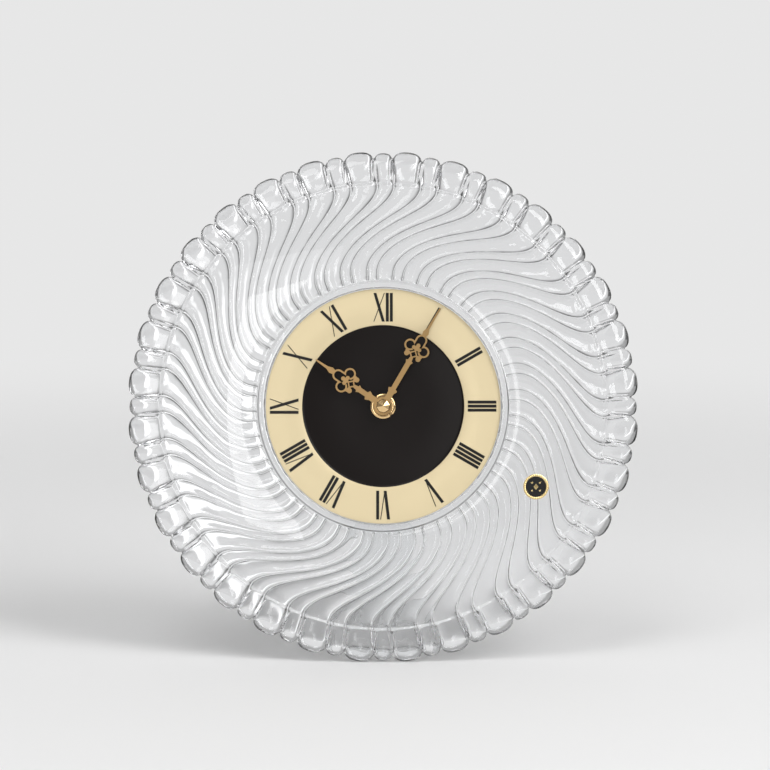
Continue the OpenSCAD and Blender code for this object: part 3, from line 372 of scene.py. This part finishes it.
# The plate's section as rows: dial seat, lip, well, rim, underside, ribs, their ends, and back to the bore.
# The lip, rim, underside and ends are curves through their points; the well and ribs follow their formulas.
def plateRings():
    footR, footZ = plate["lipFoot"]
    creaseR, creaseZ = plate["crease"]
    thick, web = plate["wellThickness"], plate["web"]
    swirl = plate["swirl"] - plate["seamTurn"]
    bendRadii = [creaseR, *plate["bendRadii"]]

    edge = np.array([plate["bore"]] + [plate["seat"] - inset for inset in plate["seatRings"]])
    seat = ringRows(edge, 0, plain, turn=swirl * np.array([1, 0, 0]))
    lip = throughPoints(plateSection["lip"] + [(footR, footZ)], plateRows["lip"])
    lip = ringRows(lip[:, 0], lip[:, 1], plain)
    t = np.linspace(0, 1, plateRows["well"])[1:]
    well = ringRows(footR + t * (creaseR - footR), wellHeight(t), plain)

    stepR, stepZ = plate["rimStart"]
    rim = throughPoints([(creaseR + stepR, creaseZ + stepZ, 0, 0)] + plateSection["rim"], plateRows["rim"])
    bend = plate["rimBend"] * np.interp(rim[:, 0], bendRadii, plate["bendFront"])
    power = np.interp(rim[:, 0], plate["edgeRadii"], [cushion[0], scallop[0]])
    rest = np.linspace(cushion[1], scallop[1], len(rim))
    front = ringRows(rim[:, 0], rim[:, 1], (power, rest), rim[:, 2], -plate["frontGroove"] * rim[:, 3], bend)

    tall = float(ribHeight(1.0))
    last = (creaseR + plate["seamWidth"] / 2, creaseZ - thick - tall, 0, 1)
    under = throughPoints(plateSection["under"] + [last], plateRows["under"])[1:]
    bend = -plate["rimBend"] * np.interp(under[:, 0], bendRadii, plate["bendBehind"])
    under = ringRows(under[:, 0], under[:, 1], scallop, under[:, 2], tall * under[:, 3], bend)

    t = np.linspace(1, plate["ribEnd"], plateRows["ribs"])
    radius = footR + t * (creaseR - footR)
    radius[0] -= plate["seamWidth"] / 2
    ribs = ringRows(radius, wellHeight(t) - thick - ribHeight(t), rib, 0, ribHeight(t), ribTurn(t))

    low = float(ribHeight(plate["ribFoot"]))
    endZ = float(wellHeight(plate["ribFoot"])) - thick - low
    ends = [(r, endZ + z, notch, lift) for r, z, notch, lift in plateSection["ends"]]
    ends += [(r, z - web, notch, lift) for r, z, notch, lift in plateSection["web"]]
    ends = throughPoints(ends, plateRows["ends"])
    ends = ringRows(ends[:, 0], ends[:, 1], rib, ends[:, 2], low * ends[:, 3], swirl)
    back = ringRows(np.array([*plate["backRings"], plate["bore"]]), -web, plain, turn=swirl)
    return np.vstack([seat, lip, well, front, under, ribs, ends, back])


# Slow waves of pressed glass: a sum of sines, each along its own bearing
def pressedWaves(points):
    total = 0
    for height, length, bearing, start in plate["waves"]:
        turn = math.radians(bearing)
        along = points[..., 0] * math.cos(turn) + points[..., 1] * math.sin(turn)
        total = total + height * np.sin(start + 2 * math.pi / length * along)
    return total


# r = ring radius - notch share x notch depth x depth below the lobe's top, and the height likewise with the
# groove's lift; the rear also has the waves
def crystalPlate():
    phases, places, tallness, sag = (np.tile(row, plate["lobes"])[None, :] for row in lobePlaces())
    ringR, ringZ, notch, lift, turn, power, rest = (column[:, None] for column in plateRings().T)
    lobe = np.repeat(np.arange(plate["lobes"]), phases.size // plate["lobes"])
    angles = np.radians((lobe + phases) * 360 / plate["lobes"])
    valley = 1 - lobeHeight(places, power, rest) * tallness + sag
    radius = ringR - notch * plate["notch"] * valley
    points = clockPoint(radius, angles - np.radians(turn), ringZ + lift * valley)
    inside, behind = plate["waveStart"]
    rear = (ringZ < -plate["web"] - behind) * (ringR > plate["lipFoot"][0] - inside)
    points[..., 2] += pressedWaves(points) * rear
    mesh = gridMesh("glassPlate", onDial(points), plate["sharp"])
    print("glass triangles", 2 * len(mesh.polygons))
    standIn("crystal_plate", mesh)


crystalPlate()
print("glass plate made")

# Dial. A turned piece's section is radius and height, out along its front and back along its rear.
dialPlate = {"section": [(5, 0), (5, 0.72), (5.08, 0.8), (24, 0.8), (42.65, 0.8), (42.9, 0.86), (43.68, 1.33),
                         (43.8, 1.4), (63.5, 1.4), (63.6, 1.3), (63.6, 0)]}
chapterRing = {"section": [(43.8, 1.4), (43.8, 1.46), (43.975, 1.7), (44.15, 1.8), (54, 1.8), (63.35, 1.8),
                           (63.55, 1.68), (63.6, 1.5), (63.6, 1.4)]}
hands = {"edge": 0.2, "join": 0.15}        # steps of the outline shorter than join become one
fixingNut = {"section": [(4.15, 1.3), (6.3, 1.3), (6.75, 1.45), (6.9, 1.8), (6.9, 2.3), (6.78, 2.75),
                         (6.4, 3.12), (5.95, 3.28), (5.5, 3.3), (5.1, 3.25), (4.9, 3.05), (4.15, 3.0)],
             "slots": (139, 319), "slotFloor": 5.3, "slotHalf": 0.8}
capNut = {"section": [(1.7, 6.95), (3.5, 6.9), (3.8, 7.1), (3.85, 7.5), (3.8, 9.1), (3.55, 9.5), (0.3, 11.25),
                      (0.1, 11.45), (pole, 11.48), (pole, 8.3), (1.7, 8.3)],
          "columns": 8, "turn": 35, "sharp": 12}        # eight flats, the first edge 35 degrees from twelve
stackEdges = {"dial_washer": 0.1, "hour_hub": 0.08, "minute_hub": 0.1}
numerals = {"edge": 0.02, "segments": 1, "swell": 0.07}
turned = {"columns": 256, "turn": 0, "sharp": 30, "slots": ()}        # where a turned piece says nothing else


# A closed section turned about the dial's axis: x = r sin a, y = r cos a. A slot cuts the radius down to its
# floor wherever the arc from the slot's bearing is shorter than its half width.
def lathe(nodeName, ownForm):
    form = {**turned, **ownForm}
    section = np.asarray(form["section"], float)
    angle = roundSteps(form["columns"]) + math.radians(form["turn"])
    radius = section[:, :1] + 0 * angle
    for bearing in form["slots"]:
        away = np.abs(angle - math.radians(bearing)) * radius
        radius = np.where(away < form["slotHalf"], np.minimum(radius, form["slotFloor"]), radius)
    points = onDial(clockPoint(radius, angle, section[:, 1:] + 0 * angle))
    standIn(nodeName, gridMesh(oneWord(nodeName), points, form["sharp"]))


lathe("dial_plate", dialPlate)
lathe("chapter_ring", chapterRing)
softened("hour_hand", hands["edge"], join=hands["join"])
softened("minute_hand", hands["edge"], join=hands["join"])
lathe("fixing_nut", fixingNut)
lathe("cap_nut", capNut)
for nodeName, edge in stackEdges.items():
    softened(nodeName, edge)
swell = softened("hour_numerals", numerals["edge"], numerals["segments"]).modifiers.new("swell", "DISPLACE")
swell.mid_level = 0
swell.strength = numerals["swell"] * mm
print("dial and hands made")

# Foil seal stuck to the well. A section is radius and rise above the glass; a mark's radius is a share of its
# outline.
seal = {
    "angle": 117.8,            # clockwise from twelve
    "share": 0.46,             # of the way from the lip's foot to the crease
    "field": [(pole, 0), (pole, 0.12), (2.775, 0.12), (5.65, 0.12), (5.65, 0)],
    "border": [(5.55, 0), (5.55, 0.12), (5.8, 0.14), (6, 0.252), (6.25, 0.34), (6.5, 0.252), (6.7, 0.14),
               (6.9, 0.072), (6.9, 0)],
    "mark": [(pole, 0.06), (pole, 0.19), (0.7, 0.18), (1, 0.13), (1, 0.06)],
    "beads": 36,
    "beadSteps": 8,
    "beadRipple": 0.3,         # share of the border's height by which its beads rise and fall
    "lozenge": (2.6, 3.4),
    "dot": 0.5,
    "dotPlace": 3.0,
    "dotBearings": (45, 135, 225, 315),
    "columns": {"field": 72, "lozenge": 48, "dot": 20},
    "sharp": 50,
}


# Places on the well for points (u, v) of the seal's own plane, raised by rise; u runs to the right and v up
def onWell(u, v, rise):
    angle = math.radians(seal["angle"])
    centre = plate["lipFoot"][0] + seal["share"] * wellWidth
    x, y = centre * math.sin(angle) + u, centre * math.cos(angle) + v
    z = wellHeight((np.hypot(x, y) - plate["lipFoot"][0]) / wellWidth) + rise
    return onDial(np.stack([x, y, z], axis=-1))


# A section turned round a point of the seal: each radius is multiplied by outline(angle), and each rise by
# 1 + ripple x the cosine of the angle times the number of beads
def sealPiece(name, section, columns, material=sealGold, middle=(0, 0), outline=lambda angle: 1, ripple=0):
    angle = roundSteps(columns)
    radius, rise = (np.asarray(column, float)[:, None] + 0 * angle for column in zip(*section))
    radius = radius * outline(angle)
    rise = rise * (1 + ripple * np.cos(angle * seal["beads"]))
    points = onWell(middle[0] + radius * np.sin(angle), middle[1] + radius * np.cos(angle), rise)
    standIn("foil_seal", gridMesh(name, points, seal["sharp"]), material)


# Four straight sides: 1 / (|sin a| / half the width + |cos a| / half the height)
def lozengeOutline(angle):
    wide, tall = seal["lozenge"]
    return 1 / (np.abs(np.sin(angle)) / (wide / 2) + np.abs(np.cos(angle)) / (tall / 2))


sealPiece("sealField", seal["field"], seal["columns"]["field"], slotFinish["seal_foil"])
sealPiece("sealBorder", seal["border"], seal["beads"] * seal["beadSteps"], ripple=seal["beadRipple"])
sealPiece("sealLozenge", seal["mark"], seal["columns"]["lozenge"], outline=lozengeOutline)
for number, turn in enumerate(np.radians(seal["dotBearings"]), 1):
    middle = (seal["dotPlace"] * math.sin(turn), seal["dotPlace"] * math.cos(turn))
    sealPiece(f"sealDot{number}", seal["mark"], seal["columns"]["dot"], middle=middle,
              outline=lambda angle: seal["dot"])
print("seal made")

# Stand and movement
standEdges = {"easel_bracket": 0.25, "hinge_pin": 0.25, "easel_leg": 0.5, "foot_pad": 0.8,
              "movement_case": 0.35, "rear_cover": 0.25, "setting_knob": 0.12, "rubber_gasket": 0.2}
for nodeName, edge in standEdges.items():
    piece = softened(nodeName, edge)
    if "clear" in slotOf[nodeName]:         # light passes to the floor under the leg and its pad
        piece.visible_shadow = piece.visible_diffuse = False

# Battery: its axis runs along x, and a section is place along it and radius
battery = {
    "y": -19.0,
    "z": -17.0,
    "columns": 96,
    "can": [(-26, pole), (-26, 2.3), (-25.88, 2.6), (-25.6, 2.7), (-25.05, 2.7), (-24.9, 2.9), (-24.9, 6.1),
            (-24.65, 6.7), (-24.2, 6.98), (23.6, 6.98), (24.15, 6.75), (24.3, 6.3), (24.25, 5.5),
            (24.05, 5.1), (24.05, pole)],
    "jacket": [(-24.3, 6.8), (-24.3, 7.02), (-24.15, 7.1), (23.55, 7.1), (23.7, 7.02), (23.7, 6.8)],
}


# A section turned about the battery's axis: y = r cos a and z = r sin a
def batteryPiece(name, section, material):
    section = np.asarray(section, float)
    angle = roundSteps(battery["columns"])
    along, radius = section[:, :1] + 0 * angle, section[:, 1:]
    y = battery["y"] + radius * np.cos(angle)
    z = battery["z"] + radius * np.sin(angle)
    standIn("battery_cell", gridMesh(name, onDial(np.stack([along, y, z], axis=-1))), material)


batteryPiece("batteryCan", battery["can"], slotFinish["can_metal"])
batteryPiece("batteryJacket", battery["jacket"], slotFinish["battery_jacket"])

# Coil winding, wound along y
winding = {"x": 23.16, "z": -14.5, "low": 5.33, "high": 21.29, "half": 2.75, "turns": 56, "stepsInTurn": 4,
           "dip": 0.06, "columns": 32, "power": 4, "pole": 0.02}


# A rounded square carried along the coil; its half width dips by (1 - |cos|) of the turn between the wires
def coilWinding():
    angle = roundSteps(winding["columns"])
    steps = np.linspace(0, winding["turns"], winding["turns"] * winding["stepsInTurn"] + 1)[:, None]
    power = winding["power"]
    square = (np.abs(np.cos(angle)) ** power + np.abs(np.sin(angle)) ** power) ** (-1 / power)
    radius = winding["half"] * square - winding["dip"] * (1 - np.abs(np.cos(math.pi * steps)))
    along = winding["low"] + (winding["high"] - winding["low"]) * steps / winding["turns"]
    poleRow = winding["pole"] + 0 * angle
    radius = np.vstack([poleRow, radius, poleRow])
    along = np.vstack([along[:1], along, along[-1:]]) + 0 * angle
    x = winding["x"] + radius * np.sin(angle)
    z = winding["z"] + radius * np.cos(angle)
    standIn("coil_winding", gridMesh("coilWinding", onDial(np.stack([x, along, z], axis=-1))))


coilWinding()
print("stand, movement and battery made")

# Floor that sweeps up into a backdrop, in metres. A step is (from, to, result at from, result at to), eased
# in between.
stage = {
    "front": 3.6, "bend": 2.6, "radius": 0.9, "top": 4.5, "width": 9.0, "bendSteps": 17,
    "colour": 0.82, "roughness": 0.7, "gloss": 0.1,
    "pale": 0.8,                               # what the camera sees of the wall and the far floor
    "near": (0.5, 1.1, 0.0, 1.0),              # distance from the clock at which that replaces lit floor
    "height": 0.138, "fall": -0.162,           # a line back from the dial, falling as the camera looks,
    "lean": 0.05,                              # and leaning to the right, per metre
    "plate": 0.139, "start": 0.05,             # slant = (distance from the line - plate) / (y + start)
    "least": 0.02,
    "tighter": (0.3, 1.2, 1.35, 1.0),          # factor on the slant by y
    "cone": (0.22, 0.66, 0.8, 0.12),           # light by slant, for gloss and glass
    "ahead": (-0.3, 0.0, 0.5, 0.0),            # light by y on the floor before the clock
    "far": (0.7, 1.4, 0.0, 0.4),               # least light by y far behind it
    "stripToward": (-0.8, 0.0, -0.6),          # bearing of a bright streak low on the left
    "stripWidth": (0.2, 0.75, 0.0, 1.0),       # its light by the cosine from that bearing,
    "stripStart": (0.04, 0.07, 0.0, 0.75),     # and by slant
    "stripEnd": (0.09, 0.15, 1.0, 0.0),
    "bare": (0.02, 0.09, 0.0, 1.0),            # how far gloss and glass see light, not lit floor, by slant
    "behind": (0.0, 0.12, 0.0, 1.0),           # and by y
}
room = {"ambient": 0.51, "depth": (0.5, 1.0, 0.26, 0.8)}       # the world's light on matt, and by direction


# The result of a step for the value of a socket
def smoothStep(tree, socket, step):
    node = tree.nodes.new("ShaderNodeMapRange")
    node.interpolation_type = "SMOOTHSTEP"
    for key, value in zip(("From Min", "From Max", "To Min", "To Max"), step):
        node.inputs[key].default_value = value
    tree.links.new(socket, node.inputs["Value"])
    return node.outputs["Result"]


# The first, a socket, where the factor is 0, and the second, a number, where it is 1
def pickOne(tree, factor, first, second):
    node = tree.nodes.new("ShaderNodeMix")
    tree.links.new(factor, node.inputs["Factor"])
    tree.links.new(first, node.inputs["A"])
    node.inputs["B"].default_value = second
    return node.outputs["Result"]


# Plain light beyond the near circle for the camera. Gloss and glass see a cone of light behind the clock that
# dims with the slant, a dimmer floor ahead and a bright streak, so that glass edges pick up a dim room.
def paleEverywhere(tree, surface):

    def calc(kind, *terms):
        node = tree.nodes.new("ShaderNodeMath")
        node.operation = kind
        for target, term in zip(node.inputs, terms):
            if isinstance(term, (int, float)):
                target.default_value = term
            else:
                tree.links.new(term, target)
        return node.outputs[0]

    def eased(socket, name):
        return smoothStep(tree, socket, stage[name])

    def vectorCalc(kind, vector, second=None):
        node = tree.nodes.new("ShaderNodeVectorMath")
        node.operation = kind
        tree.links.new(vector, node.inputs[0])
        if second:
            node.inputs[1].default_value = second
        return node.outputs["Value"]

    rays = tree.nodes.new("ShaderNodeLightPath").outputs
    place = tree.nodes.new("ShaderNodeTexCoord").outputs["Object"]
    split = tree.nodes.new("ShaderNodeSeparateXYZ")
    tree.links.new(place, split.inputs[0])
    x, y, z = split.outputs
    acrossNode = tree.nodes.new("ShaderNodeCombineXYZ")
    across = acrossNode.outputs[0]
    lineHeight = calc("MULTIPLY_ADD", y, stage["fall"], stage["height"])
    tree.links.new(calc("MULTIPLY_ADD", y, -stage["lean"], x), acrossNode.inputs["X"])
    tree.links.new(calc("SUBTRACT", z, lineHeight), acrossNode.inputs["Z"])

    outside = calc("MAXIMUM", calc("SUBTRACT", vectorCalc("LENGTH", across), stage["plate"]), 0.0)
    slant = calc("DIVIDE", outside, calc("MAXIMUM", calc("ADD", y, stage["start"]), stage["least"]))
    narrowed = calc("MULTIPLY", slant, eased(y, "tighter"))
    glow = calc("MAXIMUM", eased(narrowed, "cone"), eased(y, "ahead"))
    glow = calc("MAXIMUM", glow, eased(y, "far"))
    distance = calc("MAXIMUM", vectorCalc("LENGTH", across), mm)
    bearing = calc("DIVIDE", vectorCalc("DOT_PRODUCT", across, stage["stripToward"]), distance)
    strip = calc("MULTIPLY", eased(slant, "stripStart"), eased(slant, "stripEnd"))
    glow = calc("MULTIPLY_ADD", strip, eased(bearing, "stripWidth"), glow)

    light = tree.nodes.new("ShaderNodeEmission")
    tree.links.new(pickOne(tree, rays["Is Camera Ray"], glow, stage["pale"]), light.inputs["Strength"])
    through = calc("MAXIMUM", rays["Is Glossy Ray"], rays["Is Transmission Ray"])
    distant = eased(vectorCalc("LENGTH", place), "near")
    seen = calc("MULTIPLY", distant, calc("MAXIMUM", rays["Is Camera Ray"], through))
    bare = calc("MULTIPLY", eased(slant, "bare"), eased(y, "behind"))
    mix = tree.nodes.new("ShaderNodeMixShader")
    tree.links.new(calc("MAXIMUM", seen, calc("MULTIPLY", bare, through)), mix.inputs["Fac"])
    tree.links.new(surface.outputs[0], mix.inputs[1])
    tree.links.new(light.outputs[0], mix.inputs[2])
    return mix


# The strip runs back along the floor, bends up through a quarter circle and rises straight
def floorAndBackdrop():
    bend = np.linspace(0, math.pi / 2, stage["bendSteps"])
    backY = stage["bend"] + stage["radius"] * np.sin(bend)
    y = np.concatenate([[-stage["front"]], backY, backY[-1:]])
    z = np.concatenate([[0], stage["radius"] * (1 - np.cos(bend)), [stage["top"]]])
    x = np.array([-0.5, 0.5]) * stage["width"]
    points = np.stack([x[None, :] + 0 * y[:, None], y[:, None] + 0 * x, z[:, None] + 0 * x], axis=-1)
    mesh = gridMesh("floor", points, closed=False)
    floor = bpy.data.objects.new("floor", mesh)
    scene.collection.objects.link(floor)
    material = newMaterial("floorPale", [stage["colour"]] * 3, Roughness=stage["roughness"],
                           Specular_IOR_Level=stage["gloss"])
    mesh.materials.append(material)
    tree = material.node_tree
    mix = paleEverywhere(tree, tree.nodes["Principled BSDF"])
    tree.links.new(mix.outputs[0], tree.nodes["Material Output"].inputs["Surface"])


# Even light on matt surfaces; glass and gloss see a pale room behind the clock and a dim one before it
def surroundings():
    world = bpy.data.worlds.new("room")
    scene.world = world
    world.use_nodes = True
    tree = world.node_tree
    place = tree.nodes.new("ShaderNodeTexCoord")
    split = tree.nodes.new("ShaderNodeSeparateXYZ")
    tree.links.new(place.outputs["Generated"], split.inputs[0])
    rays = tree.nodes.new("ShaderNodeLightPath").outputs
    strength = smoothStep(tree, split.outputs["Y"], room["depth"])
    strength = pickOne(tree, rays["Is Diffuse Ray"], strength, room["ambient"])
    strength = pickOne(tree, rays["Is Camera Ray"], strength, stage["pale"])
    tree.links.new(strength, tree.nodes["Background"].inputs["Strength"])
    tree.nodes["Background"].inputs["Color"].default_value = (1, 1, 1, 1)


# Soft boxes: azimuth to the right of straight ahead and elevation in degrees, metres from the dial, width and
# height in metres, and power
lamps = {
    "keyPanel": (50, 36, 3.0, (1.3, 2.6), 56),
    "leftPanel": (-11, 10, 3.0, (0.4, 1.25), 5),
    "leftHalo": (-12, 11, 3.0, (0.75, 1.7), 4),
    "topPanel": (-27, 60, 3.0, (1.3, 1.6), 20),
}


# A soft box at its bearing from the dial, facing it
def panel(name, azimuth, elevation, distance, size, power):
    a, e = math.radians(azimuth), math.radians(elevation)
    lamp = bpy.data.objects.new(name, bpy.data.lights.new(name, "AREA"))
    scene.collection.objects.link(lamp)
    lamp.data.shape = "RECTANGLE"
    lamp.data.size, lamp.data.size_y = size
    lamp.data.energy = power
    lamp.visible_camera = False
    target = Vector(dialCentre)
    direction = Vector((math.sin(a) * math.cos(e), -math.cos(a) * math.cos(e), math.sin(e)))
    lamp.location = target + distance * direction
    lamp.rotation_euler = (target - lamp.location).to_track_quat("-Z", "Y").to_euler()


floorAndBackdrop()
surroundings()
for name, settings in lamps.items():
    panel(name, *settings)
print("floor and lights made")
